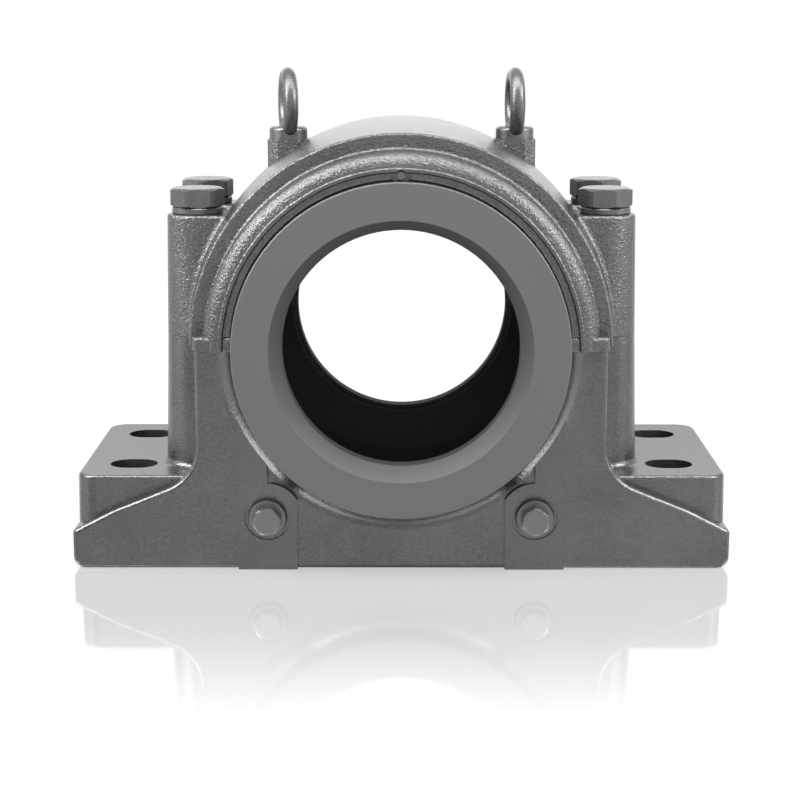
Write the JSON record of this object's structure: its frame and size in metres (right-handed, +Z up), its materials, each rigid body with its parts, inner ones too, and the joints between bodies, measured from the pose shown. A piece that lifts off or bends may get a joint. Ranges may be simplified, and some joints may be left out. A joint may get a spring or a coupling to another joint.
{
  "type": "pillow block housing",
  "caption": "Large split pillow block housing of cast iron with a bolted cap, lifting eye bolts, drain plugs and a slotted foot, for a roller bearing on a shaft.",
  "frame": {"origin": "on the underside, below the middle of the shaft bore", "axes": "+X along the foot, +Y along the shaft, +Z up"},
  "size_m": [0.61, 0.334, 0.456],
  "materials": {
    "cast": "as cast, dark grey",
    "machined": "dull plain steel",
    "plug": "bright plated steel",
    "seal": "dull"
  },
  "bodies": {
    "root": {"base": "cast", "cap": "cast", "cap_bolt_front_left": "machined", "cap_bolt_front_right": "machined", "cap_bolt_rear_left": "machined", "cap_bolt_rear_right": "machined", "dowel_pin_left": "machined", "dowel_pin_right": "machined", "drain_plug_front_left": "plug", "drain_plug_front_right": "plug", "drain_plug_rear_left": "plug", "drain_plug_rear_right": "plug", "eye_bolt_left": "machined", "eye_bolt_right": "machined", "lubrication_plug_front": "machined", "lubrication_plug_rear": "machined", "plug_seal_front_left": "seal", "plug_seal_front_right": "seal", "plug_seal_rear_left": "seal", "plug_seal_rear_right": "seal", "spring_washer_front_left": "machined", "spring_washer_front_right": "machined", "spring_washer_rear_left": "machined", "spring_washer_rear_right": "machined"}
  },
  "joints": []
}
